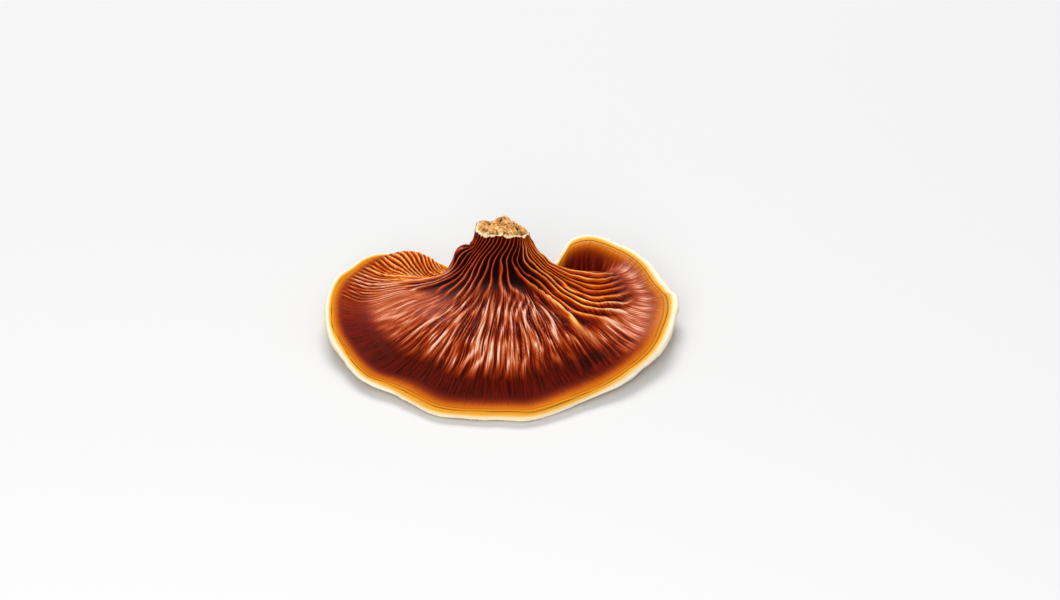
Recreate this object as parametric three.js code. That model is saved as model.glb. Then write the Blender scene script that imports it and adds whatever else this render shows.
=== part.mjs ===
// A dried reishi mushroom, lying on the flat of its underside. A kidney-shaped cap with a thin lip
// carries the stub of its cut stem at the back, between two lobes. It grew as one piece, so it is
// one closed mesh. Its surface is a net of fibre lines: each runs from the middle of the cut, down
// the stem, out over the cap, round the lip and back along the underside.
// +X is to the mushroom's right, seen from the front of the cap, +Z is up, and the front is at -Y.
import * as THREE from "three";

// Driving sizes, in millimetres.
const CAP_WIDTH = 139;
const CAP_DEPTH = 103.5; // from the front of the lip to the back of the lobes
const CAP_RISE = 17.5; // the height of the broad top of the cap
const MOUND_RISE = 7; // how much higher the cap is just in front of the stem
const LIP_THICKNESS = 4; // the rounded edge of the cap
const HOLLOW_RISE = 1.6; // the underside stands clear of the table between its flat and the lip
const STEM_WIDTH = 22;
const STEM_DEPTH = 18;
const STEM_HEIGHT = 37.3; // the cut, at the middle of the stem
const STEM_FLARE = 21; // how far the foot of the stem spreads over the cap
const STEM_HEEL = 4.5; // how far the lip stands off behind the stem
const CUT_TILT = 0.08; // the cut falls to the right, in mm per mm
const CUT_CROWN = 0.03; // and it falls away to both sides, in mm per mm squared

// Shares of the way from the stem to the lip.
const SHOULDER_START = 0.5; // the top begins to fall to the lip
const SHOULDER_END = 0.96;
const TOP_SLOPE = 0.18; // the share of the fall that the broad top takes
const FLAT_END = 0.5; // the underside is flat on the table up to here
const FOLD_FADE = 0.2; // the folds die out over this share next to the lip

// How finely the net is drawn.
const FIBRES = 104;
const CUT_RINGS = 3;
const NECK_RINGS = 8;
const CAP_RINGS = 14;
const LIP_RINGS = 4;
const UNDER_RINGS = 10;

// The outline and the folds are set out on a cap of this width and depth, with the stem's axis at
// the origin, and they stretch with the cap.
const DRAWN_WIDTH = 139;
const DRAWN_DEPTH = 103.5;

// The outline, from the front round by the right lobe to the notch beside the stem, and on from the
// other notch by the left lobe: x, y, how high the lip's lower side stands off the table, and the
// bearing on the stem, in degrees from the front, where the fibre to it starts.
const RIGHT_SIDE = [
  [0, -81.5, 0, 0],
  [13, -81, 0, 8],
  [29, -72.5, 0.6, 18],
  [43, -64, 1.6, 28],
  [54, -54, 3, 38],
  [62, -42, 4, 48],
  [67, -26, 5.5, 58],
  [68.8, -11, 6.6, 66],
  [64, 0, 8.5, 73],
  [57.5, 11, 10.8, 79],
  [48, 17.2, 12.8, 84],
  [37, 22, 13.5, 89],
  [28.5, 19.4, 12.8, 93],
  [25, 13, 10.5, 97],
  [19.5, 4.5, 7, 105],
];
const LEFT_SIDE = [
  [-20, 9.5, 7, 250],
  [-28.5, 17, 6.4, 262],
  [-38, 20, 7, 268],
  [-46.5, 17.5, 8.6, 273],
  [-55.5, 13.6, 10, 279],
  [-62.5, 5.5, 9.6, 286],
  [-68, -3, 8.5, 293],
  [-70.2, -14, 7, 300],
  [-69, -30, 4.5, 309],
  [-63, -44.5, 2.6, 319],
  [-54, -58.7, 1.5, 329],
  [-40.6, -67, 0.8, 338],
  [-26, -78, 0, 346],
  [-13, -81, 0, 353],
];
// Between the notches the outline keeps to the stem: the lip's lift and the bearing.
const BEHIND_STEM = [
  [5, 134],
  [4.5, 180],
  [5, 226],
];

// For the bearing a fibre starts from: the bearing it leaves the stem in, and how far it keeps to
// that, as a share of its length. Those that end in the lobes set off forwards and curl back, which
// keeps them clear of the notches.
const LEAVING = [
  [0, 0, 0.55],
  [60, 48, 0.55],
  [90, 55, 0.85],
  [108, 62, 1],
  [134, 110, 0.5],
  [180, 180, 0.5],
];

// Folds of the cap's top: middle x and y, half length, half width, turn in degrees, and rise.
const FOLDS = {
  rightPocket: [33, 4, 11, 6, 8, -9.5],
  rightFold: [30, -11, 18, 6, -10, 2],
  leftSag: [-54, -14, 14, 16, 0, -3],
  leftValley: [-29, -1, 14, 6, -18, -5.5],
  leftCrest: [-38, 14, 13, 6, -6, 3.5],
  leftKnob: [-17, -2, 5, 5, 0, 6],
  rightSag: [50, -25, 16, 18, 0, -1],
};
const MOUND_MIDDLE_Y = -20;
const MOUND_HALF_WIDTH = 17;
const MOUND_HALF_DEPTH = 22;

const { clamp, lerp, degToRad, smoothstep } = THREE.MathUtils;
const across = CAP_WIDTH / DRAWN_WIDTH;
const along = CAP_DEPTH / DRAWN_DEPTH;
const lipRadius = LIP_THICKNESS / 2;

const direction = (bearing) =>
  new THREE.Vector2(Math.sin(degToRad(bearing)), -Math.cos(degToRad(bearing)));

// The side of the stem at a bearing, or a level line that runs round it at a distance.
const besideStem = (bearing, distance = 0) =>
  direction(bearing).multiply(
    new THREE.Vector2(STEM_WIDTH / 2 + distance, STEM_DEPTH / 2 + distance),
  );

const stretched = ([x, y, lift, bearing]) => [x * across, y * along, lift, bearing];
const behindStem = ([lift, bearing]) => [
  ...besideStem(bearing, STEM_HEEL).toArray(),
  lift,
  bearing,
];
const outline = [
  ...RIGHT_SIDE.map(stretched),
  ...BEHIND_STEM.map(behindStem),
  ...LEFT_SIDE.map(stretched),
];

// A smooth closed curve through one column of the outline, at share u of the way round. A column
// that gains a full turn on its way round, as a bearing does, says so.
function outlineValue(column, u, turn = 0) {
  const n = outline.length;
  const place = u * n;
  const first = Math.floor(place);
  const f = place - first;
  const at = (k) => {
    const index = first + k;
    const lap = Math.floor(index / n);
    return outline[index - lap * n][column] + lap * turn;
  };
  const [p0, p1, p2, p3] = [-1, 0, 1, 2].map(at);
  const startSlope = (p2 - p0) / 2;
  const endSlope = (p3 - p1) / 2;
  return (
    lerp(p1, p2, 3 * f ** 2 - 2 * f ** 3) +
    (f ** 3 - 2 * f ** 2 + f) * startSlope +
    (f ** 3 - f ** 2) * endSlope
  );
}

const outlinePoint = (u) => new THREE.Vector2(outlineValue(0, u), outlineValue(1, u));

// The bearing in which the fibre from a bearing leaves the stem, and how far it keeps to it.
function leaving(bearing) {
  const turned = bearing > 180 ? bearing - 360 : bearing;
  const size = Math.abs(turned);
  const next = LEAVING.findIndex(([from]) => from > 0 && from >= size);
  const [fromA, towardsA, keptA] = LEAVING[next - 1];
  const [fromB, towardsB, keptB] = LEAVING[next];
  const share = (size - fromA) / (fromB - fromA);
  return {
    towards: Math.sign(turned) * lerp(towardsA, towardsB, share),
    kept: lerp(keptA, keptB, share),
  };
}

const cutHeight = (x) => STEM_HEIGHT - CUT_TILT * x - CUT_CROWN * x * x;

function foldRise(x, y) {
  let rise = 0;
  for (const [cx, cy, halfLength, halfWidth, turn, height] of Object.values(FOLDS)) {
    const offset = new THREE.Vector2(x / across - cx, y / along - cy);
    offset.rotateAround(new THREE.Vector2(), -degToRad(turn));
    const far = (offset.x / halfLength) ** 2 + (offset.y / halfWidth) ** 2;
    rise += height * Math.exp(-far);
  }
  return rise;
}

function topLevel(x, y) {
  const far =
    (x / across / MOUND_HALF_WIDTH) ** 2 +
    ((y / along - MOUND_MIDDLE_Y) / MOUND_HALF_DEPTH) ** 2;
  return CAP_RISE + MOUND_RISE * Math.exp(-far);
}

// One fibre line, as a list of points from the middle of the cut to the middle of the underside.
function fibre(u) {
  const step = 0.5 / FIBRES;
  const edge = outlinePoint(u);
  const way = outlinePoint(u + step).sub(outlinePoint(u - step));
  const outwards = new THREE.Vector2(way.y, -way.x).normalize();
  const lipStart = edge.clone().addScaledVector(outwards, -lipRadius);
  const bearing = outlineValue(3, u, 360);
  const stemSide = besideStem(bearing);
  const length = stemSide.distanceTo(lipStart);
  const { towards, kept } = leaving(bearing);
  const plan = new THREE.QuadraticBezierCurve(
    stemSide,
    stemSide.clone().addScaledVector(direction(towards), kept * length),
    lipStart,
  );

  const lipLow = Math.max(0, outlineValue(2, u));
  const lipTop = lipLow + LIP_THICKNESS;
  // Short fibres, beside and behind the stem, run straight down to the lip.
  const reach = clamp((length - 5) / 20, 0, 1) ** 0.8;
  const capHeight = (share, { x, y }) => {
    const fallen = smoothstep(share, SHOULDER_START, SHOULDER_END);
    const held = 1 - TOP_SLOPE * share - (1 - TOP_SLOPE) * fallen;
    const folds = foldRise(x, y) * smoothstep(1 - share, 0, FOLD_FADE);
    return lipTop + (topLevel(x, y) - lipTop) * held * reach + folds;
  };

  const points = [];
  const add = ({ x, y }, z) => points.push([x, y, z]);
  for (let ring = 1; ring <= CUT_RINGS; ring++) {
    const onCut = stemSide.clone().multiplyScalar(ring / (CUT_RINGS + 1));
    add(onCut, cutHeight(onCut.x));
  }
  const stemRise = cutHeight(stemSide.x) - capHeight(0, stemSide);
  const neckShare = Math.min(STEM_FLARE / length, 0.55);
  for (let ring = 0; ring < NECK_RINGS; ring++) {
    const down = ring / NECK_RINGS;
    const share = neckShare * down ** 2;
    const spot = plan.getPoint(share);
    add(spot, capHeight(share, spot) + stemRise * (1 - down) ** 2);
  }
  for (let ring = 0; ring <= CAP_RINGS; ring++) {
    const share = lerp(neckShare, 1, ring / CAP_RINGS);
    const spot = plan.getPoint(share);
    add(spot, capHeight(share, spot));
  }
  for (let ring = 1; ring <= LIP_RINGS; ring++) {
    const angle = Math.PI * (0.5 - ring / (LIP_RINGS + 1));
    const spot = lipStart.clone().addScaledVector(outwards, lipRadius * Math.cos(angle));
    add(spot, lipLow + lipRadius * (1 + Math.sin(angle)));
  }
  // The underside rises from its flat to the lip, and stays a lip's thickness below the folds.
  for (let ring = 0; ring <= UNDER_RINGS; ring++) {
    const share = 1 - ring / UNDER_RINGS;
    const spot = plan.getPoint(share);
    const middle = clamp((share - FLAT_END) / (1 - FLAT_END), 0, 1);
    const hollow = HOLLOW_RISE * Math.sin(Math.PI * middle) ** 2 * reach;
    const rise = lipLow * smoothstep(share, FLAT_END, 1) + hollow;
    add(spot, Math.min(rise, capHeight(share, spot) - LIP_THICKNESS));
  }
  return points;
}

// The closed net: a fan round the middle of the cut, bands between neighbouring fibres, and a fan
// round the middle of the underside.
function mushroomGeometry() {
  const fibres = Array.from({ length: FIBRES }, (_, i) => fibre(i / FIBRES));
  const rings = fibres[0].length;
  const points = [...fibres.flat(), [0, 0, cutHeight(0)], [0, 0, 0]];
  const cutMiddle = points.length - 2;
  const underMiddle = points.length - 1;
  const faces = [];
  for (let i = 0; i < FIBRES; i++) {
    const here = i * rings;
    const beside = ((i + 1) % FIBRES) * rings;
    faces.push(cutMiddle, here, beside);
    for (let ring = 0; ring < rings - 1; ring++) {
      faces.push(here + ring, here + ring + 1, beside + ring + 1);
      faces.push(here + ring, beside + ring + 1, beside + ring);
    }
    faces.push(here + rings - 1, underMiddle, beside + rings - 1);
  }
  const geometry = new THREE.BufferGeometry();
  const position = new THREE.Float32BufferAttribute(points.flat(), 3);
  geometry.setAttribute("position", position);
  geometry.setIndex(faces);
  // The origin is the middle of the bottom of the bounding box.
  geometry.computeBoundingBox();
  const middle = geometry.boundingBox.getCenter(new THREE.Vector3());
  geometry.translate(-middle.x, -middle.y, -geometry.boundingBox.min.z);
  geometry.computeVertexNormals();
  return geometry;
}

const varnishedCap = new THREE.MeshStandardMaterial({
  color: 0x96380f,
  roughness: 0.35,
  metalness: 0,
});
const mushroom = new THREE.Mesh(mushroomGeometry(), varnishedCap);
mushroom.name = "reishi_mushroom";

const object = new THREE.Group();
object.add(mushroom);

export default object;
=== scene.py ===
import math

import bpy
import numpy as np
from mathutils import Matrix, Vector


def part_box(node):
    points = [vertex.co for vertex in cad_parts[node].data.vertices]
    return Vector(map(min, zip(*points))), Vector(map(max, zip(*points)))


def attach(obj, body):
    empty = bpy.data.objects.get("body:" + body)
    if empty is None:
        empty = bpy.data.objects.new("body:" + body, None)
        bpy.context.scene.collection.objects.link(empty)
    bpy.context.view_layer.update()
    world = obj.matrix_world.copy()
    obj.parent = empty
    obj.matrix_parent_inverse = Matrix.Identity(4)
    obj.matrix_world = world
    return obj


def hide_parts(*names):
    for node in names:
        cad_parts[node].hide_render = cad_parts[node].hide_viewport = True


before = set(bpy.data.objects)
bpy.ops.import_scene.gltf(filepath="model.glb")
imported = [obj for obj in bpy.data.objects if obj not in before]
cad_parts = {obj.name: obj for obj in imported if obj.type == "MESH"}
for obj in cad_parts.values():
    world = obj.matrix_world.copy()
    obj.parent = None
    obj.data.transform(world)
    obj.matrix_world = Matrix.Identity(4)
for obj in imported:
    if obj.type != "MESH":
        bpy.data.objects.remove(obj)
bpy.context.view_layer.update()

# ---------------------------------------------------------------------------------------------
# The mushroom's growth net. A reishi grows outwards from its stem in fibres that end at the lip,
# so its whole surface is drawn as fibre lines: from the cut, down the stem, over the cap, round
# the lip and back along the underside. Lengths here are in millimetres from the stem's axis.
# ---------------------------------------------------------------------------------------------
CAP_RISE = 17.5  # of the cap's top, away from its mound and folds
MOUND_RISE = 7.0
MOUND_MIDDLE_Y, MOUND_HALF_WIDTH, MOUND_HALF_DEPTH = -20.0, 17.0, 22.0
LIP_THICKNESS = 4.0
STEM_WIDTH = 22.0
STEM_DEPTH = 18.0
STEM_HEIGHT = 37.3
STEM_FLARE = 21.0  # of a fibre's length, from the stem's side to the end of its neck
NECK_LIMIT = 0.55  # the most of a short fibre that the neck takes
STEM_HEEL = 4.5  # that the outline passes behind the stem at
CUT_TILT = 0.08
CUT_CROWN = 0.03
SHOULDER_START, SHOULDER_END = 0.50, 0.96  # shares of a fibre where the cap turns down
TOP_SLOPE = 0.18
FOLD_FADE = 0.20
SHORT_FIBRE, LONG_FIBRE = 5.0, 25.0  # fibre lengths at which the cap has none and all of its rise
REACH_POWER = 0.8

# The outline's stations: x, y, lift of the lip's lower side, and the bearing on the stem that the
# fibre to it starts from, in degrees from the front and growing to the right.
RIGHT_SIDE = [
    (0, -81.5, 0, 0), (13, -81, 0, 8), (29, -72.5, 0.6, 18), (43, -64, 1.6, 28),
    (54, -54, 3, 38), (62, -42, 4, 48), (67, -26, 5.5, 58), (68.8, -11, 6.6, 66),
    (64, 0, 8.5, 73), (57.5, 11, 10.8, 79), (48, 17.2, 12.8, 84), (37, 22, 13.5, 89),
    (28.5, 19.4, 12.8, 93), (25, 13, 10.5, 97), (19.5, 4.5, 7, 105),
]
BEHIND_STEM = [(5, 134), (4.5, 180), (5, 226)]
LEFT_SIDE = [
    (-20, 9.5, 7, 250), (-28.5, 17, 6.4, 262), (-38, 20, 7, 268), (-46.5, 17.5, 8.6, 273),
    (-55.5, 13.6, 10, 279), (-62.5, 5.5, 9.6, 286), (-68, -3, 8.5, 293), (-70.2, -14, 7, 300),
    (-69, -30, 4.5, 309), (-63, -44.5, 2.6, 319), (-54, -58.7, 1.5, 329), (-40.6, -67, 0.8, 338),
    (-26, -78, 0, 346), (-13, -81, 0, 353),
]
# For a fibre's bearing on the stem: the bearing it leaves in, and the share of its length that it
# keeps to it. The fibres of the lobes set off forwards and curl back.
LEAVING_FROM = (0, 60, 90, 108, 134, 180)
LEAVING_TOWARDS = (0, 48, 55, 62, 110, 180)
LEAVING_KEPT = (0.55, 0.55, 0.85, 1.0, 0.5, 0.5)

# Folds of the top: middle x and y, half length, half width, turn in degrees, and rise.
FOLDS = [
    (33, 4, 11, 6, 8, -9.5),  # the pocket of the right lobe
    (30, -11, 18, 6, -10, 2),  # the fold in front of it
    (-54, -14, 14, 16, 0, -3),
    (-29, -1, 14, 6, -18, -5.5),  # the valley left of the stem
    (-38, 14, 13, 6, -6, 3.5),  # the crest of the left lobe
    (-17, -2, 5, 5, 0, 6),  # the knob on the stem's left
    (50, -25, 16, 18, 0, -1),
]

FIBRES = 1280
NECK_RINGS, CAP_RINGS, LIP_RINGS = 60, 130, 12


def plan_direction(degrees):
    turn = np.radians(degrees)
    return np.stack([np.sin(turn), -np.cos(turn)], -1)


def smooth(value, low, high):
    """A smooth step from 0 at the low end to 1 at the high end."""
    share = np.clip((value - low) / (high - low), 0, 1)
    return share * share * (3 - 2 * share)


def lump(x, y, middle_x, middle_y, spread_x, spread_y):
    """A round bump, 1 high at its middle."""
    return np.exp(-((x - middle_x) / spread_x) ** 2 - ((y - middle_y) / spread_y) ** 2)


def behind_stem(lift, bearing):
    x, y = plan_direction(bearing)
    return (x * (STEM_WIDTH / 2 + STEM_HEEL), y * (STEM_DEPTH / 2 + STEM_HEEL), lift, bearing)


stations = np.array(RIGHT_SIDE + [behind_stem(*row) for row in BEHIND_STEM] + LEFT_SIDE)


def outline_value(column, share, turn=0.0):
    """A smooth closed curve through one column of the stations."""
    count = len(stations)
    place = share * count
    first = np.floor(place).astype(int)
    f = place - first
    p0, p1, p2, p3 = (
        stations[(first + k) % count, column] + turn * ((first + k) // count)
        for k in (-1, 0, 1, 2)
    )
    step = f * f * (3 - 2 * f)
    return (p1 + (p2 - p1) * step + (f ** 3 - 2 * f ** 2 + f) * (p2 - p0) / 2
            + (f ** 3 - f ** 2) * (p3 - p1) / 2)


def outline_point(share):
    return np.stack([outline_value(0, share), outline_value(1, share)], -1)


# The net starts and ends behind the stem, where its seam shows least.
SMALL_STEP = 0.0008  # of a turn, to find the way the outline runs
around = (np.arange(FIBRES) / FIBRES + 0.5) % 1.0
edge = outline_point(around)
way = outline_point(around + SMALL_STEP) - outline_point(around - SMALL_STEP)
outwards = np.stack([way[:, 1], -way[:, 0]], -1)
outwards /= np.linalg.norm(outwards, axis=1, keepdims=True)
lip_radius = LIP_THICKNESS / 2
lip_start = edge - outwards * lip_radius
bearing = outline_value(3, around, 360.0)
signed = (bearing + 180) % 360 - 180
stem_side = plan_direction(bearing) * (STEM_WIDTH / 2, STEM_DEPTH / 2)
length = np.linalg.norm(lip_start - stem_side, axis=1)
towards = np.interp(np.abs(signed), LEAVING_FROM, LEAVING_TOWARDS) * np.sign(signed)
kept = np.interp(np.abs(signed), LEAVING_FROM, LEAVING_KEPT)
bend = stem_side + plan_direction(towards) * (kept * length)[:, None]
lip_low = np.maximum(0, outline_value(2, around))
lip_top = lip_low + LIP_THICKNESS
reach = np.clip((length - SHORT_FIBRE) / (LONG_FIBRE - SHORT_FIBRE), 0, 1) ** REACH_POWER


def spot_in_plan(share):
    s = np.broadcast_to(share, around.shape)[:, None]
    return (1 - s) ** 2 * stem_side + 2 * s * (1 - s) * bend + s * s * lip_start


def cap_height(share, spot):
    x, y = spot.T
    mound = lump(x, y, 0, MOUND_MIDDLE_Y, MOUND_HALF_WIDTH, MOUND_HALF_DEPTH)
    level = CAP_RISE + MOUND_RISE * mound
    folds = 0
    for cx, cy, half_length, half_width, turn, rise in FOLDS:
        c, s = math.cos(math.radians(turn)), math.sin(math.radians(turn))
        p = (x - cx) * c + (y - cy) * s
        q = (y - cy) * c - (x - cx) * s
        folds = folds + rise * np.exp(-(p / half_length) ** 2 - (q / half_width) ** 2)
    held = 1 - TOP_SLOPE * share - (1 - TOP_SLOPE) * smooth(share, SHOULDER_START, SHOULDER_END)
    return (lip_top + (level - lip_top) * held * reach
            + folds * smooth(1 - share, 0, FOLD_FADE))


def with_height(spot, height):
    return np.column_stack([spot, np.broadcast_to(height, around.shape)])


def cut_height(x):
    return STEM_HEIGHT - CUT_TILT * x - CUT_CROWN * x * x


neck_share = np.minimum(STEM_FLARE / length, NECK_LIMIT)
stem_rise = cut_height(stem_side[:, 0]) - cap_height(0 * around, stem_side)
upper_rows, upper_share, down_neck = [], [], []
for ring in range(NECK_RINGS):
    down = ring / NECK_RINGS
    share = neck_share * down ** 2
    spot = spot_in_plan(share)
    upper_rows.append(with_height(spot, cap_height(share, spot) + stem_rise * (1 - down) ** 2))
    upper_share.append(share)
    down_neck.append(down)
for ring in range(CAP_RINGS + 1):
    share = neck_share + (1 - neck_share) * ring / CAP_RINGS
    spot = spot_in_plan(share)
    upper_rows.append(with_height(spot, cap_height(share, spot)))
    upper_share.append(share)
    down_neck.append(1.0)
for ring in range(1, LIP_RINGS + 1):
    angle = math.pi * (0.5 - ring / (LIP_RINGS + 1))
    spot = lip_start + outwards * lip_radius * math.cos(angle)
    upper_rows.append(with_height(spot, lip_low + lip_radius * (1 + math.sin(angle))))
    upper_share.append(np.ones(FIBRES))
    down_neck.append(1.0)
upper = np.array(upper_rows)
upper_share = np.array(upper_share)
down_neck = np.array(down_neck)[:, None]

# ---------------------------------------------------------------------------------------------
# Fins and cords. A reishi's crust shrinks as it dries, and buckles into ridges along the fibres:
# thin fins down the stem, and bolder cords where they run over the fold on the right. They die
# out on the cap, well before its lip.
# ---------------------------------------------------------------------------------------------
# Bearing on the stem, in degrees, against the number of fins passed on the way round to it.
FIN_BEARINGS = (-180, -80, 34, 56, 80, 180)
FINS_PASSED = (0, 12, 25.5, 29.5, 34.5, 45.5)
LEAN = 20.0  # degrees that the fins swing over to the left by, going down the stem
SWING_BACK = 24.0  # degrees that those on the right swing back by, further out
FOOT_BEND = 4.0  # degrees that the lower cords turn by at the foot of the stem
LOBE_BEND = 12.0  # degrees that they turn back by, to run along the front of the right lobe
WANDER, TREMBLE = 5.0, 1.3  # degrees that a ridge strays by, in long waves and in short ones
FIN_HEIGHT = 1.0
CORD_HEIGHT = 1.5
BOLD_CORD, BOLD_SPREAD, BOLD_HEIGHT = 34.0, 1.15, 1.6  # degrees, degrees, mm
FURROW_OFFSET, FURROW_SPREAD, FURROW_SHARE = 3.6, 1.7, 0.35  # the furrow beside the bold cord
NOISE_ROWS = 128


def between(value, start, full, fade, end):
    """1 from full to fade, falling smoothly to 0 at start and at end."""
    return smooth(value, start, full) * (1 - smooth(value, fade, end))


def grown_noise(turn, row, cells, seed):
    """Smooth noise from 0 to 1. One turn is once round the mushroom, in the number of cells."""
    table = np.random.RandomState(seed).rand(cells, NOISE_ROWS)
    x = (turn % 1.0) * cells
    ix, iy = np.floor(x).astype(int), np.floor(row).astype(int)
    fx, fy = smooth(x - ix, 0, 1), smooth(row - iy, 0, 1)
    ix, next_x = ix % cells, (ix + 1) % cells
    iy, next_y = iy % NOISE_ROWS, (iy + 1) % NOISE_ROWS
    near = table[ix, iy] * (1 - fy) + table[ix, next_y] * fy
    far = table[next_x, iy] * (1 - fy) + table[next_x, next_y] * fy
    return near * (1 - fx) + far * fx


def stray(turn, row, cells, seed, span):
    """The same noise, to both sides of 0."""
    return (grown_noise(turn, row, cells, seed) - 0.5) * span


def pleated(passed):
    """A wave with its crests at the half numbers."""
    return 0.5 - 0.5 * np.cos(2 * np.pi * passed)


# Where each point of the net is: turns round the lip and round the stem, degrees from the front,
# millimetres travelled from the cut, and millimetres inside the lip, which are minus on the lip.
net_zeros = np.zeros(upper.shape[:2])
rim_steps = np.linalg.norm(np.roll(edge, -1, 0) - edge, axis=1)
along_rim = np.concatenate([[0], np.cumsum(rim_steps)[:-1]])
rim_length = rim_steps.sum()
rim_turn = along_rim / rim_length + net_zeros
stem_turn = bearing / 360 + net_zeros
side = signed + net_zeros
steps = np.linalg.norm(np.diff(upper, axis=0), axis=2)
travelled = np.concatenate([np.zeros((1, FIBRES)), np.cumsum(steps, 0)])
lip_row = NECK_RINGS + CAP_RINGS
rim_mm = travelled[lip_row] - travelled

# The fins lean over to the left down the stem. On the right they swing back further out, and the
# lower ones turn again to run along the front of the right lobe.
right = between(side, 26, 40, 100, 116)
left = between(-side, 52, 70, 108, 122)
behind = smooth(np.abs(side), 90, 130)
swung = LEAN - SWING_BACK * smooth(side + 1.3 * (travelled - 11), 8, 70)
swung = swung + FOOT_BEND * smooth(travelled, 18, 32) * between(side, 10, 24, 50, 76)
swung = swung * smooth(travelled, 0, 11) * (1 - smooth(np.abs(side), 100, 150))
swung = swung - LOBE_BEND * smooth(travelled, 38, 54) * between(side, 26, 60, 66, 104)
wander = stray(stem_turn, travelled / 7, 40, 1, WANDER) * (1 - 0.45 * right)
wander = wander * np.maximum(smooth(travelled, 2, 12), behind)
tremble = stray(stem_turn, travelled / 3.5, 110, 23, TREMBLE) * smooth(travelled, 6, 16)
fin_bearing = side + swung + wander + tremble
passed = np.interp(fin_bearing, FIN_BEARINGS, FINS_PASSED)

fin_luck = np.random.RandomState(5).rand(64)[np.floor(passed).astype(int) % 64]
strength = 0.65 + 0.7 * fin_luck
strength = strength * (1 - behind * 0.7 * grown_noise(stem_turn, travelled / 8, 40, 20))
fin = pleated(passed) ** (2.1 - 0.6 * right)
fin_size = FIN_HEIGHT * (0.12 + 0.88 * smooth(travelled, 0.5, 5))
fin_end = 0.30 + 0.24 * left + 0.2 * smooth(np.abs(side), 110, 130)
fin_size = fin_size * (1 - smooth(upper_share, fin_end - 0.12, fin_end + 0.06))
corded = smooth(fin_bearing, 28, 33.5) * (1 - smooth(side, 100, 116))
cord_size = CORD_HEIGHT * corded * between(upper_share, 0.04, 0.2, 0.60, 0.76)
pleat_height = np.maximum(fin_size, cord_size) * strength
split = pleated(2 * passed) ** 1.5 * (0.2 + 0.35 * smooth(fin_bearing, 50, 62))
split = split * smooth(upper_share, 0.1, 0.25)

# One cord stands out, with a furrow beside it. It is boldest near its outer end.
beside_bold = fin_bearing - BOLD_CORD
bold_run = between(travelled, 11, 22, 46, 53) * (0.5 + 0.5 * smooth(travelled, 24, 38))
furrow = FURROW_SHARE * np.exp(-((beside_bold + FURROW_OFFSET) / FURROW_SPREAD) ** 2)
bold = BOLD_HEIGHT * bold_run * (np.exp(-(beside_bold / BOLD_SPREAD) ** 2) - furrow)
bold_crest = np.clip(bold / BOLD_HEIGHT, 0, 1) ** 1.4
ridge = pleat_height * (fin + split * (1 - fin)) + bold

# ---------------------------------------------------------------------------------------------
# Wrinkles. The middle of the cap shrinks most, so its crust puckers into short wrinkles that
# branch and break off, with finer crinkles between them.
# ---------------------------------------------------------------------------------------------
WRINKLE_SPACING = 4.5  # degrees round the stem
WRINKLE_HEIGHT, STREAK_HEIGHT, CRINKLE_HEIGHT = 0.6, 0.8, 0.35


def creased(noise):
    """Turns smooth noise into branching ridges."""
    return 1 - np.abs(2 * noise - 1)


middle = between(side, -66, -48, 26, 42) * (0.12 + 0.88 * smooth(side, -44, -18))
in_middle = middle * between(upper_share, 0.16, 0.34, 0.66, 0.80)
beside_cords = 0.4 * between(side, 20, 34, 44, 60) * between(upper_share, 0.55, 0.66, 0.80, 0.92)
wrinkled = np.maximum(in_middle, beside_cords)
drift = stray(stem_turn, travelled / 10, 50, 2, 2.2) + 0.06 * (travelled - 40)  # degrees
bent_turn = stem_turn + drift / 360
sway = stray(stem_turn, travelled / 13, 44, 3, 1.9)  # in wrinkles
broken = smooth(grown_noise(bent_turn, travelled / 9, 90, 7), 0.25, 0.65)
wrinkle = pleated(bent_turn * 360 / WRINKLE_SPACING + sway) ** 2 * (0.25 + 0.75 * broken)
streak = creased(grown_noise(bent_turn, travelled / 15, 400, 4)) ** 2.4
crinkle = creased(grown_noise(bent_turn, travelled / 8, 800, 6)) ** 1.6
puckers = WRINKLE_HEIGHT * wrinkle + STREAK_HEIGHT * streak + CRINKLE_HEIGHT * crinkle
ridge = ridge + wrinkled * puckers

# ---------------------------------------------------------------------------------------------
# Pleats of the lobes. Those of the left lobe fan out from a point in front of it, across the
# fibres that come from the stem. Those of the right lobe run along its fibres, and are low. Fine
# striations ring the shoulder of the cap.
# ---------------------------------------------------------------------------------------------
PLEAT_HEIGHT = 0.85
LOBE_FAN_X, LOBE_FAN_Y, LOBE_FAN_STEP = -10.0, -20.0, 2.4  # mm, mm, degrees from pleat to pleat
RIM_PLEAT = 3.0  # mm along the lip
STRIATION = 1.2  # mm along the lip

fan = np.degrees(np.arctan2(upper[..., 1] - LOBE_FAN_Y, LOBE_FAN_X - upper[..., 0]))
fan_stray = stray(rim_turn, travelled / 12, 50, 8, 1.5)  # in pleats
fan_passed = fan / LOBE_FAN_STEP + fan_stray
fan_number = np.floor(fan_passed).astype(int)
fan_strength = 0.6 + 0.6 * np.random.RandomState(21).rand(64)[fan_number % 64]
on_left_lobe = between(-side, 60, 72, 112, 122) * smooth(upper_share, 0.42, 0.54)
on_right_lobe = between(side, 68, 78, 100, 112) * smooth(upper_share, 0.5, 0.7)
rim_pleat = pleated(rim_turn * round(rim_length / RIM_PLEAT) + fan_stray)
fan_pleat = fan_strength * pleated(fan_passed) ** 1.2
pleat = on_left_lobe * fan_pleat + (1 - on_left_lobe) * rim_pleat
lobe_size = PLEAT_HEIGHT * (on_left_lobe + 0.16 * on_right_lobe) * smooth(rim_mm, 1, 6)
striation = pleated(rim_turn * round(rim_length / STRIATION) + 2 * fan_stray)
shoulder = (0.07 + 0.19 * smooth(-side, 40, 60)) * between(rim_mm, 3, 7, 14, 20)
ridge = ridge + lobe_size * pleat + shoulder * striation

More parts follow.
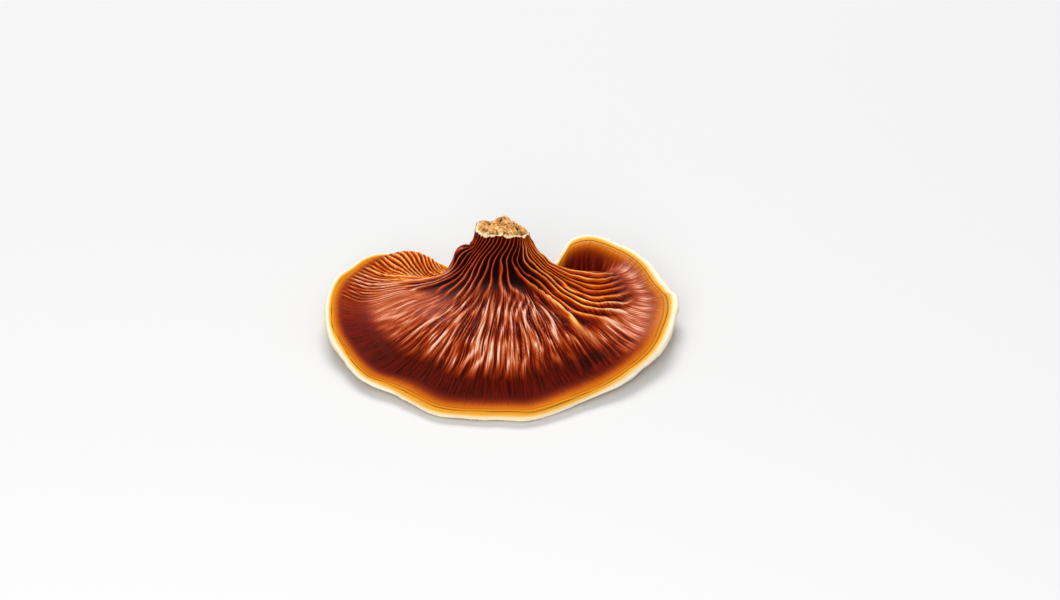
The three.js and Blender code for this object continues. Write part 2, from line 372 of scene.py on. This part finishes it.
# ---------------------------------------------------------------------------------------------
# The lip: the last growth of the cap, a rounded and slightly lumpy edge with one or two shallow
# growth lines inside it. They lie closer to the edge in front, where the cap grew fastest.
# ---------------------------------------------------------------------------------------------
LIP_LUMPS = 0.7
LINE_DEPTH = 0.14
LINE_FROM, LINE_RANGE = 1.5, 0.8  # mm inside the lip: the least, and what is added to it at most
SECOND_LINE = 1.2  # mm further in than the first
LINE_SPREAD, SECOND_SPREAD = 0.22, 0.20

# The margin's bands of colour and its lines run closer together where this stretch of the
# distance from the lip is larger, and further out where the shift, in millimetres, is larger.
MARGIN_BEARINGS = (-180, -112, -104, -90, -80, -60, -38, -20, 20, 36, 60, 72, 84, 98, 120, 180)
MARGIN_STRETCH = (1.0, 1.4, 2.0, 1.5, 1.1, 1.5, 1.3, 0.85, 0.85, 1.0, 0.9, 0.9, 0.8, 0.8, 1.2, 1.0)
MARGIN_SHIFT = (-0.8, 0.0, 1.2, 0.6, 0.2, 0.6, 1.6, 2.4,
                2.4, 1.4, -0.2, -1.2, -0.5, -0.2, -0.4, -0.8)

rim_shown = rim_mm * np.interp(side, MARGIN_BEARINGS, MARGIN_STRETCH)
rim_shown = rim_shown + np.interp(side, MARGIN_BEARINGS, MARGIN_SHIFT)
lumpy = grown_noise(rim_turn, net_zeros, 52, 9) + 0.5 * grown_noise(rim_turn, net_zeros, 150, 10)
on_lip = smooth(-rim_mm, -3.5, 0)
line_place = LINE_FROM + LINE_RANGE * grown_noise(rim_turn, net_zeros, 34, 11)
inside_line = rim_shown - line_place
growth_line = np.exp(-(inside_line / LINE_SPREAD) ** 2)
second_shown = smooth(grown_noise(rim_turn, net_zeros, 12, 12), 0.35, 0.6)
second_line = second_shown * np.exp(-((inside_line - SECOND_LINE) / SECOND_SPREAD) ** 2)
lines = np.maximum(growth_line, 0.7 * second_line)
relief = ridge + LIP_LUMPS * on_lip * (lumpy - 0.75) - LINE_DEPTH * lines

# ---------------------------------------------------------------------------------------------
# Lumps of growth on the stem and the left lobe, and the crust raised along its own normals by
# all that stands on it.
# ---------------------------------------------------------------------------------------------
# Bearing, millimetres down from the cut, spread in degrees and in millimetres, and rise.
STEM_LUMPS = [
    (-84, 12.0, 15, 3.2, 1.8),  # the knob on the left
    (-82, 5.5, 18, 2.6, -1.6),  # the waist above it
    (82, 11.5, 14, 2.8, 1.0),
]
SWELL_X, SWELL_Y, SWELL_WIDTH, SWELL_DEPTH, SWELL_RISE = -38.0, 10.0, 11.0, 6.5, 3.0

for turn, down, width, height, rise in STEM_LUMPS:
    relief = relief + rise * lump(side, travelled, turn, down, width, height)
swell = lump(upper[..., 0], upper[..., 1], SWELL_X, SWELL_Y, SWELL_WIDTH, SWELL_DEPTH)
relief = relief + SWELL_RISE * swell * on_left_lobe * smooth(rim_mm, 0, 4)

down_fibre = np.gradient(upper, axis=0)
across_fibre = (np.roll(upper, -1, 1) - np.roll(upper, 1, 1)) / 2
normal = np.cross(down_fibre, across_fibre)
normal /= np.linalg.norm(normal, axis=2, keepdims=True) + 1e-9
if normal[NECK_RINGS + CAP_RINGS // 2, :, 2].mean() < 0:
    normal = -normal  # on the cap they face up
upper = upper + normal * relief[..., None]

# ---------------------------------------------------------------------------------------------
# The tip of the right lobe. It grew against the stem, so it curls in towards it and stands a
# little higher, and in front of it the lip steps out by a growth line.
# ---------------------------------------------------------------------------------------------
TIP_X, TIP_Y, TIP_SPREAD, TIP_CURL = 24.0, 11.0, 10.0, 3.2
CROWN_X, CROWN_Y, CROWN_WIDTH, CROWN_DEPTH, CROWN_LIFT = 31.0, 21.0, 13.0, 9.0, 1.7
LIP_STEP = 1.2
STEP_REACH = 8.0  # mm inside the lip


def with_tip(net):
    x, y, z = net[..., 0], net[..., 1], net[..., 2]
    curl = TIP_CURL * lump(x, y, TIP_X, TIP_Y, TIP_SPREAD, TIP_SPREAD)
    lift = CROWN_LIFT * lump(x, y, CROWN_X, CROWN_Y, CROWN_WIDTH, CROWN_DEPTH)
    return np.stack([x - curl, y, z + lift], -1)


stepped = outwards * (LIP_STEP * between(signed, 34, 60, 66.5, 68.5))[:, None]
upper[..., :2] += stepped * (1 - smooth(rim_mm, 0, STEP_REACH))[..., None]
upper = with_tip(upper)

# ---------------------------------------------------------------------------------------------
# The cut. The stem was snapped rather than sliced: a rough, cracked face of tan cork that falls
# away behind a small peak, with a ragged pale rim where the crust tore off.
# ---------------------------------------------------------------------------------------------
CUT_RINGS = 30
CUT_FALL = 3.0  # that the face drops towards the back
PEAK_X, PEAK_Y, PEAK_WIDTH, PEAK_DEPTH, PEAK_RISE = 1.0, 5.0, 3.2, 3.5, 2.4
SHOULDER_RISE = 1.4  # of the left corner
RAGGED = 1.1
RAGGED_RINGS = 8
COARSE_TEAR, FINE_TEAR, CRACK_DEPTH = 1.5, 0.9, 0.9
BURR = 0.1  # that the torn crust stands over the cork


def cut_relief(x, y):
    peak = PEAK_RISE * lump(x, y, PEAK_X, PEAK_Y, PEAK_WIDTH, PEAK_DEPTH)
    corner = SHOULDER_RISE * smooth(-x, 4, 9) * smooth(y, -6, 0)
    return peak + corner - CUT_FALL * smooth(y, 0, 8)


def plan_noise(x, y, size, seed):
    """The same noise seen from above, in cells of a size in millimetres."""
    half = NOISE_ROWS // 2
    return grown_noise((x / size + half) / NOISE_ROWS, y / size + half, NOISE_ROWS, seed)


edge_turn, edge_row = stem_turn[0], net_zeros[0]
ragged = stray(edge_turn, edge_row, 80, 13, RAGGED)
ragged = ragged + stray(edge_turn, edge_row, 22, 14, 1.8 * RAGGED)
ragged = ragged + cut_relief(upper[0, :, 0], upper[0, :, 1])
for ring in range(RAGGED_RINGS):
    upper[ring, :, 2] += ragged * (1 - ring / RAGGED_RINGS) ** 1.5

cut_rows, share_rows, crack_rows = [], [], []
for ring in range(1, CUT_RINGS + 1):
    share = ring / (CUT_RINGS + 1)
    spot = upper[0, :, :2] * share
    x, y = spot.T
    torn = (plan_noise(x, y, 3.1, 15) - 0.5) * COARSE_TEAR
    torn = torn + (plan_noise(x, y, 1.1, 16) - 0.5) * FINE_TEAR
    crack = smooth(creased(plan_noise(x + 0.4 * y, y, 1.7, 17)), 0.86, 0.97)
    crack = crack * smooth(plan_noise(x, y, 2.2, 18), 0.35, 0.6)
    face = cut_height(x) + cut_relief(x, y) + torn - CRACK_DEPTH * crack
    blend = smooth(share, 0.80, 1.0)
    cut_rows.append(with_height(spot, face * (1 - blend) + (upper[0, :, 2] + BURR) * blend))
    share_rows.append(np.full(FIBRES, share))
    crack_rows.append(crack)
cut = np.array(cut_rows)

# ---------------------------------------------------------------------------------------------
# The underside: the pore face. It lies flat on the table below the stem and rises to the lip,
# never nearer to the folds of the top than the thickness of the lip.
# ---------------------------------------------------------------------------------------------
UNDER_RINGS = 30
FLAT_END = 0.50  # share of a fibre
HOLLOW_RISE = 1.6
STEP_START = 0.86  # share of a fibre where the step of the lip starts

under_rows = []
for ring in range(UNDER_RINGS + 1):
    share = 1 - ring / UNDER_RINGS
    spot = spot_in_plan(share)
    run = min(max((share - FLAT_END) / (1 - FLAT_END), 0), 1)
    rise = lip_low * smooth(share, FLAT_END, 1) + HOLLOW_RISE * math.sin(math.pi * run) ** 2 * reach
    level = np.minimum(rise, cap_height(share + 0 * around, spot) - LIP_THICKNESS)
    spot = spot + stepped * smooth(share, STEP_START, 1)
    under_rows.append(with_height(spot, level))
under = with_tip(np.array(under_rows))

# ---------------------------------------------------------------------------------------------
# The mesh: one closed skin, its rings joined into bands and shut by a fan on the cut and one
# under the stem. The stem's axis is where the CAD outline puts it.
# ---------------------------------------------------------------------------------------------
MM_PER_METRE = 1000
EDGE_SAMPLES = 4000

low, high = (Vector(corner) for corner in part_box("reishi_mushroom"))
fine_edge = outline_point(np.linspace(0, 1, EDGE_SAMPLES))
drawn_middle = (fine_edge.min(0) + fine_edge.max(0)) / 2
stem_axis = Vector(((low.x + high.x) / 2 - drawn_middle[0] / MM_PER_METRE,
                    (low.y + high.y) / 2 - drawn_middle[1] / MM_PER_METRE, low.z))

rings = np.concatenate([cut, upper, under])
ring_count = len(rings)
poles = np.array([[0, 0, cut_height(0)], [0, 0, 0]])
points = np.concatenate([rings.reshape(-1, 3), poles]) / MM_PER_METRE + np.array(stem_axis)
points[:, 2] = np.maximum(points[:, 2], low.z)  # nothing sinks into the table
column = np.arange(FIBRES)
next_column = (column + 1) % FIBRES
ring_start = np.arange(ring_count - 1)[:, None] * FIBRES
first = ring_start + column
beside = ring_start + next_column
quads = np.stack([first, first + FIBRES, beside + FIBRES, beside], -1).reshape(-1, 4)
cut_pole, under_pole = ring_count * FIBRES, ring_count * FIBRES + 1
last_ring = (ring_count - 1) * FIBRES
cut_fan = np.stack([np.full(FIBRES, cut_pole), column, next_column], -1)
under_fan = np.stack([last_ring + column, np.full(FIBRES, under_pole), last_ring + next_column], -1)
faces = quads.tolist() + cut_fan.tolist() + under_fan.tolist()

skin = bpy.data.meshes.new("reishi_mushroom_skin")
skin.from_pydata(points.tolist(), [], faces)
skin.polygons.foreach_set("use_smooth", np.ones(len(skin.polygons), dtype=bool))

mushroom = bpy.data.objects.new("reishi_mushroom_body", skin)
bpy.context.collection.objects.link(mushroom)
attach(mushroom, "root")
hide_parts("reishi_mushroom")

# ---------------------------------------------------------------------------------------------
# The colour of the crust. It is orange while young, on the ridges of the right and left. It is
# dark maroon in a band inside the margin, and painted shade darkens it to maroon on the stem's
# front and left, in the pocket and in the crescent round it.
# ---------------------------------------------------------------------------------------------
# How high on a ridge a point lies, from 0 in a groove to 1 on a crest, with painted sheen added
# below. It colours the grooves dark as painted shade and the crests pale as painted highlight.
fin_crest = fin ** (1.4 + 0.9 * corded) + split * (1 - fin)
wrinkle_crest = smooth(0.5 * wrinkle + 0.6 * streak + 0.35 * crinkle, 0.15, 1.15)
even = 0.15 + 0.5 * between(side, 60, 76, 112, 124) * smooth(upper_share, 0.4, 0.6)
crest_and_sheen = (1.2 * pleat_height * fin_crest + bold_crest + wrinkled * wrinkle_crest + lobe_size * pleat
         + 0.5 * even)
crest_and_sheen = crest_and_sheen / (1.2 * pleat_height + bold_crest + wrinkled + lobe_size + even)

# A painted sheen on the shoulders of both lobes, drawn out into hair-fine lines, lightens the
# crests.
sheen_end = 27 - 9 * smooth(side, 54, 66)
painted_sheen = between(side, 32, 48, 78, 88) * between(rim_mm, 3, 8, sheen_end - 7, sheen_end)
left_painted_sheen = 0.4 * between(-side, 34, 48, 64, 76) * between(rim_mm, 12, 20, 30, 42)
hair = striation * smooth(grown_noise(rim_turn, travelled / 9, 260, 22), 0.2, 0.7)
crest_and_sheen = crest_and_sheen + np.maximum(painted_sheen, left_painted_sheen) * (0.16 + 0.42 * hair)
crest_and_sheen = crest_and_sheen + 0.22 * (fin_luck - 0.45) * fin_crest * np.clip(pleat_height, 0, 1)
# The left lobe is lightened. The bold cord gets a painted highlight, and the furrow beside it
# painted shade.
crest_and_sheen = crest_and_sheen + 0.18 * on_left_lobe + 0.35 * bold_crest - 0.3 * np.clip(-bold, 0, 1)

outer = smooth(travelled, 8, 18)
orange = smooth(fin_bearing, 30, 54 - 19 * outer) * (1 - smooth(upper_share, 0.55, 0.80))
orange = orange * (1 - smooth(side, 104, 116))
for patch in (
    between(-side, 68, 80, 112, 122) * smooth(upper_share, 0.16, 0.32),
    0.5 * smooth(-side, 54, 70) * smooth(upper_share, 0.25, 0.45),
    smooth(bold_crest, 0.05, 0.4),
    0.7 * smooth(-side, 46, 60) * (1 - smooth(rim_mm, 6, 15)),
):
    orange = np.maximum(orange, patch)

# The dark band lies inside the margin. In front it is smooth, and above it the crests are lightened
# by a painted sheen.
dark_band = smooth(upper_share, 0.68, 0.80) * (1 - 0.75 * smooth(-side, 50, 72))
dark_band = dark_band * (1 - 0.7 * smooth(side, 26, 60))
even_band = 0.55 * dark_band * (1 - smooth(np.abs(side), 34, 56))
crest_and_sheen = crest_and_sheen * (1 - even_band) + 0.36 * even_band
crest_and_sheen = crest_and_sheen + 0.08 * middle * between(upper_share, 0.48, 0.60, 0.66, 0.74)

# Painted shade: the pocket of the right lobe is darkened, as is the crescent round it.
POCKET = (31.0, 6.0, 10.0, 8.0)  # mm: its middle and its spreads, across and in depth
pocket_shade = 1.5 * lump(upper[..., 0], upper[..., 1], *POCKET) * smooth(upper_share, 0.35, 0.55)
pocket_shade = pocket_shade * smooth(side, 66, 80)
crescent = smooth(upper_share, 0.54, 0.66) * smooth(rim_mm, 11, 17) * smooth(side, 54, 72)
pocket_shade = np.clip(np.maximum(pocket_shade, 0.5 * crescent), 0, 1)

# Painted shade on the stem's front and left flank, and at the foot of the neck on its left.
stem_shade = (1 - smooth(down_neck, 0.75, 1.0)) * between(side, -110, -80, 24, 60)
stem_shade = stem_shade * (1 - 0.7 * smooth(-side, 64, 74) * smooth(travelled, 14, 20))
foot_shade = between(travelled, 12, 20, 26, 38) * between(side, -74, -60, -50, -28)
shaded = np.maximum(stem_shade, foot_shade)
maroon_and_shade = np.clip(dark_band + pocket_shade + 0.96 * shaded, 0, 1)

# The varnish is dull on the margin, which is the youngest, and in the grooves of the stem and the
# pocket, which are painted in shade.
dull_within = 15 - 11 * smooth(side, 30, 60)  # mm
dull = 1 - smooth(rim_mm, dull_within - 4, dull_within + 2)
dull = np.maximum(dull, 0.7 * np.maximum(shaded, pocket_shade) * (1 - 0.6 * crest_and_sheen))

cut_zeros = np.zeros((len(cut), FIBRES))
under_zeros = np.zeros((len(under), FIBRES))
for name, on_cut, on_upper in (
    ("crest_shade_and_sheen", cut_zeros, crest_and_sheen), ("rim_mm", cut_zeros, rim_shown),
    ("growth_line", cut_zeros, lines), ("young_orange", cut_zeros, orange),
    ("maroon_band_and_shade", cut_zeros, maroon_and_shade), ("torn_rim", share_rows, net_zeros),
    ("crack", crack_rows, net_zeros), ("dull", cut_zeros, dull),
):
    values = np.concatenate([on_cut, on_upper, under_zeros]).reshape(-1)
    values = np.concatenate([values, [0, 0]]).astype(np.float32)
    skin.attributes.new(name, "FLOAT", "POINT").data.foreach_set("value", values)

# Two maps laid along the fibres: one in millimetres for the streaks, one for the baked textures.
under_mm = travelled[-1] + np.arange(1, len(under) + 1)[:, None]
row_mm = np.concatenate([cut_zeros, travelled, under_mm])
loops = np.zeros(len(skin.loops), dtype=np.int64)
skin.loops.foreach_get("vertex_index", loops)
loop_ring, loop_column = loops // FIBRES, loops % FIBRES
quad_loops = len(quads) * 4
on_far_side = np.arange(quad_loops) % 4 >= 2
wraps = np.zeros(len(loops), dtype=bool)
wraps[:quad_loops] = (loop_column[:quad_loops] == 0) & on_far_side
along = np.where(wraps, rim_length, along_rim[loop_column])
fibre_map = skin.uv_layers.new(name="fibre_mm")
down = row_mm[np.minimum(loop_ring, ring_count - 1), loop_column]
fibre_map.data.foreach_set("uv", np.stack([along, down], -1).astype(np.float32).ravel())
bake_map = skin.uv_layers.new(name="OFBake")
bake_u = np.where(wraps, 1.0, loop_column / FIBRES)
bake_v = np.clip((loop_ring + 1) / (ring_count + 1), 0, 1)
bake_v = np.where(loops == cut_pole, 0.0, np.where(loops == under_pole, 1.0, bake_v))
bake_map.data.foreach_set("uv", np.stack([bake_u, bake_v], -1).astype(np.float32).ravel())

# ---------------------------------------------------------------------------------------------
# Laccate crust: the resin skin that a reishi grows over its cap and stem. It dries to a hard
# natural varnish, orange where young, with a maroon band inside the margin and amber and cream
# growth at the lip. Painted shade darkens its grooves, the stem and the pocket to maroon, and
# painted highlight and sheen lighten its crests. To the eye it is deep and glossy, and paler and
# duller towards the lip.
# ---------------------------------------------------------------------------------------------
STREAK_WIDTH = 1.1  # mm across the fibres
STREAK_LENGTH = 13.0  # mm along them
BLOTCH = 14.0  # mm from one patch of the varnish to the next
RIM_FROM, RIM_SPAN = -4.0, 15.0  # mm from the lip: where the margin's ramp starts, and its length


def linear(colour):
    """The linear values of an sRGB hex colour."""
    channels = [int(colour[i:i + 2], 16) / 255 for i in (1, 3, 5)]
    return [c / 12.92 if c <= 0.04045 else ((c + 0.055) / 1.055) ** 2.4 for c in channels] + [1.0]


def add(tree, kind, inputs=None, stops=None, **settings):
    """Adds a node. Its inputs go by name, or by number where several share a name."""
    node = tree.nodes.new(kind)
    for name, value in settings.items():
        setattr(node, name, value)
    for socket, value in (inputs or {}).items():
        if isinstance(value, bpy.types.NodeSocket):
            tree.links.new(value, node.inputs[socket])
        else:
            node.inputs[socket].default_value = value
    for index, (place, colour) in enumerate(stops or []):
        elements = node.color_ramp.elements
        element = elements[index] if index < 2 else elements.new(place)
        element.position = place
        element.color = linear(colour)
    return node


crust = bpy.data.materials.new("laccate_crust")
crust.use_nodes = True
tree = crust.node_tree
tree.nodes.clear()
fibre_uv = add(tree, "ShaderNodeUVMap", uv_map="fibre_mm").outputs[0]
stretch = add(tree, "ShaderNodeVectorMath", {
    0: fibre_uv, 1: (1 / STREAK_WIDTH, 1 / STREAK_LENGTH, 1)}, operation="MULTIPLY").outputs[0]
streaks = add(tree, "ShaderNodeTexNoise", {
    "Vector": stretch, "Scale": 1.0, "Detail": 4.0, "Roughness": 0.68}).outputs["Fac"]
place = add(tree, "ShaderNodeTexCoord").outputs["Object"]
blotch = add(tree, "ShaderNodeTexNoise", {
    "Vector": place, "Scale": MM_PER_METRE / BLOTCH, "Detail": 3.0}).outputs["Fac"]
crest_shade_in = add(tree, "ShaderNodeAttribute", attribute_name="crest_shade_and_sheen").outputs["Fac"]
rim_in = add(tree, "ShaderNodeAttribute", attribute_name="rim_mm").outputs["Fac"]
line_in = add(tree, "ShaderNodeAttribute", attribute_name="growth_line").outputs["Fac"]
orange_in = add(tree, "ShaderNodeAttribute", attribute_name="young_orange").outputs["Fac"]
maroon_shade_in = add(tree, "ShaderNodeAttribute", attribute_name="maroon_band_and_shade").outputs["Fac"]

# Hair-fine streaks shift the colour up and down its ramp, less so on the dark maroon band and the
# painted shade.
hairs = add(tree, "ShaderNodeMath", {
    0: streaks, 1: 1.1, 2: -0.53}, operation="MULTIPLY_ADD").outputs[0]
calm = add(tree, "ShaderNodeMapRange", {0: maroon_shade_in, 3: 1.0, 4: 0.4}).outputs[0]
hairs = add(tree, "ShaderNodeMath", {0: hairs, 1: calm}, operation="MULTIPLY").outputs[0]
height = add(tree, "ShaderNodeMath", {
    0: crest_shade_in, 1: 0.9, 2: hairs}, operation="MULTIPLY_ADD").outputs[0]
# Each ramp runs from painted shade in the grooves, through the crust's own colour, to a painted
# highlight on the crests.
red_brown = add(tree, "ShaderNodeValToRGB", {0: height}, stops=[
    (0.0, "#260300"), (0.26, "#781904"), (0.50, "#b04519"), (0.70, "#d27a50"),
    (0.90, "#f8ccb4")]).outputs[0]
young = add(tree, "ShaderNodeValToRGB", {0: height}, stops=[
    (0.0, "#1c0100"), (0.26, "#801802"), (0.54, "#c84b05"), (0.78, "#f48818"),
    (0.98, "#ffc874")]).outputs[0]
maroon = add(tree, "ShaderNodeValToRGB", {0: height}, stops=[
    (0.0, "#040000"), (0.32, "#240100"), (0.58, "#861602"), (0.78, "#cc400a"),
    (0.96, "#f4752a")]).outputs[0]
patchy = add(tree, "ShaderNodeMath", {
    0: blotch, 1: 0.5, 2: -0.25}, operation="MULTIPLY_ADD").outputs[0]
orange_share = add(tree, "ShaderNodeMath", {
    0: orange_in, 1: patchy}, operation="ADD", use_clamp=True).outputs[0]
orange_share = add(tree, "ShaderNodeMath", {
    0: orange_share, 1: orange_in}, operation="MULTIPLY", use_clamp=True).outputs[0]
coloured = add(tree, "ShaderNodeMix", {
    0: orange_share, 6: red_brown, 7: young}, data_type="RGBA").outputs[2]
coloured = add(tree, "ShaderNodeMix", {
    0: maroon_shade_in, 6: coloured, 7: maroon}, data_type="RGBA").outputs[2]

# The margin's colours run in bands from the lip inwards. The streaks fray its inner edge.
rim_far = add(tree, "ShaderNodeMapRange", {0: rim_in, 1: 3.0, 2: 9.0, 3: 0.0, 4: 4.0}).outputs[0]
off_middle = add(tree, "ShaderNodeMath", {0: streaks, 1: 0.5}, operation="SUBTRACT").outputs[0]
rim_wobble = add(tree, "ShaderNodeMath", {
    0: off_middle, 1: rim_far, 2: rim_in}, operation="MULTIPLY_ADD").outputs[0]
rim_share = add(tree, "ShaderNodeMapRange", {
    0: rim_wobble, 1: RIM_FROM, 2: RIM_FROM + RIM_SPAN, 3: 0.0, 4: 1.0}).outputs[0]
margin = add(tree, "ShaderNodeValToRGB", {0: rim_share}, stops=[
    (0.0, "#d8bb8b"), (0.08, "#efdcb6"), (0.20, "#fdf5e2"), (0.27, "#f6dba0"), (0.32, "#eeaa3a"),
    (0.43, "#da8409"), (0.56, "#bc5904"), (0.70, "#903204"), (0.86, "#641402")]).outputs[0]
margin = add(tree, "ShaderNodeMix", {
    0: line_in, 6: margin, 7: linear("#7a3c08")}, data_type="RGBA").outputs[2]
margin_share = add(tree, "ShaderNodeMapRange", {
    0: rim_wobble, 1: 4.5, 2: 10.0, 3: 1.0, 4: 0.0}, interpolation_type="SMOOTHSTEP").outputs[0]
coloured = add(tree, "ShaderNodeMix", {
    0: margin_share, 6: coloured, 7: margin}, data_type="RGBA").outputs[2]
dull_in = add(tree, "ShaderNodeAttribute", attribute_name="dull").outputs["Fac"]
gloss = add(tree, "ShaderNodeMapRange", {0: blotch, 1: 0.3, 2: 0.7, 3: 0.17, 4: 0.27}).outputs[0]
gloss = add(tree, "ShaderNodeMix", {0: dull_in, 2: gloss, 3: 0.75}).outputs[0]
fine = add(tree, "ShaderNodeBump", {
    "Height": streaks, "Strength": 0.7, "Distance": 0.0006}).outputs[0]
varnish = add(tree, "ShaderNodeBsdfPrincipled", {
    "Base Color": coloured, "Roughness": gloss, "Normal": fine, "IOR": 1.5,
    "Specular IOR Level": 0.09, "Specular Tint": linear("#ffb898")}).outputs[0]
add(tree, "ShaderNodeOutputMaterial", {0: varnish})

# ---------------------------------------------------------------------------------------------
# Torn cork flesh, on the cut of the stem: dry tan fibres that snapped unevenly. It is matt and
# speckled, darkened to brown in its cracks as painted shade, and palest at the torn rim.
# ---------------------------------------------------------------------------------------------
CORK_GRAIN = 1.6  # mm

flesh = bpy.data.materials.new("torn_cork_flesh")
flesh.use_nodes = True
tree = flesh.node_tree
tree.nodes.clear()
place = add(tree, "ShaderNodeTexCoord").outputs["Object"]
grain = add(tree, "ShaderNodeTexNoise", {
    "Vector": place, "Scale": MM_PER_METRE / CORK_GRAIN, "Detail": 5.0,
    "Roughness": 0.65}).outputs["Fac"]
crack_in = add(tree, "ShaderNodeAttribute", attribute_name="crack").outputs["Fac"]
torn_in = add(tree, "ShaderNodeAttribute", attribute_name="torn_rim").outputs["Fac"]
cork = add(tree, "ShaderNodeValToRGB", {0: grain}, stops=[
    (0.34, "#5c260a"), (0.42, "#b56e2c"), (0.53, "#dca052"), (0.68, "#f0d29a")]).outputs[0]
# Painted shade: the cracks are darkened to brown.
cork = add(tree, "ShaderNodeMix", {
    0: crack_in, 6: cork, 7: linear("#3c1606")}, data_type="RGBA").outputs[2]
rim_edge = add(tree, "ShaderNodeMath", {
    0: grain, 1: 0.12, 2: torn_in}, operation="MULTIPLY_ADD").outputs[0]
rim_share = add(tree, "ShaderNodeMapRange", {0: rim_edge, 1: 0.92, 2: 0.98}).outputs[0]
cork = add(tree, "ShaderNodeMix", {
    0: rim_share, 6: cork, 7: linear("#f3e2ba")}, data_type="RGBA").outputs[2]
rough_cork = add(tree, "ShaderNodeBump", {
    "Height": grain, "Strength": 0.8, "Distance": 0.0005}).outputs[0]
dry = add(tree, "ShaderNodeBsdfPrincipled", {
    "Base Color": cork, "Roughness": 0.85, "Normal": rough_cork, "IOR": 1.45}).outputs[0]
add(tree, "ShaderNodeOutputMaterial", {0: dry})

# ---------------------------------------------------------------------------------------------
# Pore layer, under the cap: a matt cream felt of pores five to the millimetre, drawn coarser so
# that they show, stained tan where it was handled, and darkened in each pore as painted shade.
# ---------------------------------------------------------------------------------------------
PORE = 0.55  # mm from pore to pore
STAIN = 18.0  # mm

pores = bpy.data.materials.new("pore_layer")
pores.use_nodes = True
tree = pores.node_tree
tree.nodes.clear()
place = add(tree, "ShaderNodeTexCoord").outputs["Object"]
cells = add(tree, "ShaderNodeTexVoronoi", {
    "Vector": place, "Scale": MM_PER_METRE / PORE}).outputs["Distance"]
stain = add(tree, "ShaderNodeTexNoise", {
    "Vector": place, "Scale": MM_PER_METRE / STAIN, "Detail": 4.0}).outputs["Fac"]
felt = add(tree, "ShaderNodeValToRGB", {0: stain}, stops=[
    (0.3, "#b98a55"), (0.5, "#dcb884"), (0.7, "#efdcb4")]).outputs[0]
# Painted shade in the pits: each pore's middle is darkened.
pore_shade = add(tree, "ShaderNodeMapRange", {0: cells, 1: 0.1, 2: 0.4, 3: 0.55, 4: 1.0}).outputs[0]
pore_shaded = add(tree, "ShaderNodeVectorMath", {0: felt, "Scale": pore_shade}, operation="SCALE").outputs[0]
pore_bump = add(tree, "ShaderNodeBump", {
    "Height": cells, "Strength": 0.6, "Distance": 0.0002}).outputs[0]
matt = add(tree, "ShaderNodeBsdfPrincipled", {
    "Base Color": pore_shaded, "Roughness": 0.8, "Normal": pore_bump, "IOR": 1.45}).outputs[0]
add(tree, "ShaderNodeOutputMaterial", {0: matt})

# Each ring of faces takes its material. The lowest rings of the lip already bear pores.
PORED_LIP_RINGS = 4
CRUST, FLESH, PORES = 0, 1, 2
for material in (crust, flesh, pores):
    skin.materials.append(material)
band = np.repeat(np.arange(ring_count - 1), FIBRES)
crust_end = len(cut) + len(upper) - PORED_LIP_RINGS
slots = np.where(band < len(cut), FLESH, np.where(band < crust_end, CRUST, PORES))
slots = np.concatenate([slots, np.full(FIBRES, FLESH), np.full(FIBRES, PORES)])
skin.polygons.foreach_set("material_index", slots.astype(np.int32))
skin.update()

# ---------------------------------------------------------------------------------------------
# The table and the light: a plain sweep of matt white paper under a broad soft window, which is
# above and behind the mushroom, and a weak fill lamp in front of it.
# ---------------------------------------------------------------------------------------------
TABLE_SIZE = 4.0
ROOM_LIGHT = 0.54
# Each lamp's distance in metres, rise and turn in degrees, width and height, and watts.
LAMPS = {
    "window": (5.0, 41, -4, 2.9, 1.5, 215.0),
    "fill": (1.1, 32, 190, 0.7, 0.7, 6.0),
}

bpy.ops.mesh.primitive_plane_add(size=TABLE_SIZE, location=(0, 0, 0))
table = bpy.context.object
table.name = "table"
paper = bpy.data.materials.new("matt_white_paper")
paper.use_nodes = True
paper_shader = paper.node_tree.nodes["Principled BSDF"]
paper_shader.inputs["Base Color"].default_value = linear("#dadada")
paper_shader.inputs["Roughness"].default_value = 0.9
table.data.materials.append(paper)

world = bpy.data.worlds.new("studio")
bpy.context.scene.world = world
world.use_nodes = True
world.node_tree.nodes["Background"].inputs[0].default_value = (1, 1, 1, 1)
world.node_tree.nodes["Background"].inputs[1].default_value = ROOM_LIGHT

for name, (distance, rise, turn, width, height, power) in LAMPS.items():
    lamp = bpy.data.lights.new(name, "AREA")
    lamp.shape = "RECTANGLE"
    lamp.size = width
    lamp.size_y = height
    lamp.energy = power
    holder = bpy.data.objects.new(name, lamp)
    bpy.context.collection.objects.link(holder)
    rise, turn = math.radians(rise), math.radians(turn)
    away = Vector((math.sin(turn) * math.cos(rise), math.cos(turn) * math.cos(rise), math.sin(rise)))
    holder.location = stem_axis + away * distance
    holder.rotation_euler = away.to_track_quat("Z", "Y").to_euler()

# ---------------------------------------------------------------------------------------------
# The camera looks down on the cap from 34 degrees above the table, from in front of the lip. It
# has a long lens and stands over a metre away.
# ---------------------------------------------------------------------------------------------
VIEW_RISE = math.radians(34)
VIEW_DISTANCE = 1.184
VIEW_CENTRE = Vector((0.010857, 0, 0.001011))  # from the stem's axis, on the table

lens = bpy.data.cameras.new("camera")
lens.lens = 100
lens.sensor_width = 36
camera = bpy.data.objects.new("camera", lens)
bpy.context.collection.objects.link(camera)
target = stem_axis + VIEW_CENTRE
back = Vector((0, -math.cos(VIEW_RISE), math.sin(VIEW_RISE)))
camera.location = target + back * VIEW_DISTANCE
camera.rotation_euler = back.to_track_quat("Z", "Y").to_euler()
bpy.context.scene.camera = camera
bpy.context.scene.view_settings.view_transform = "Standard"
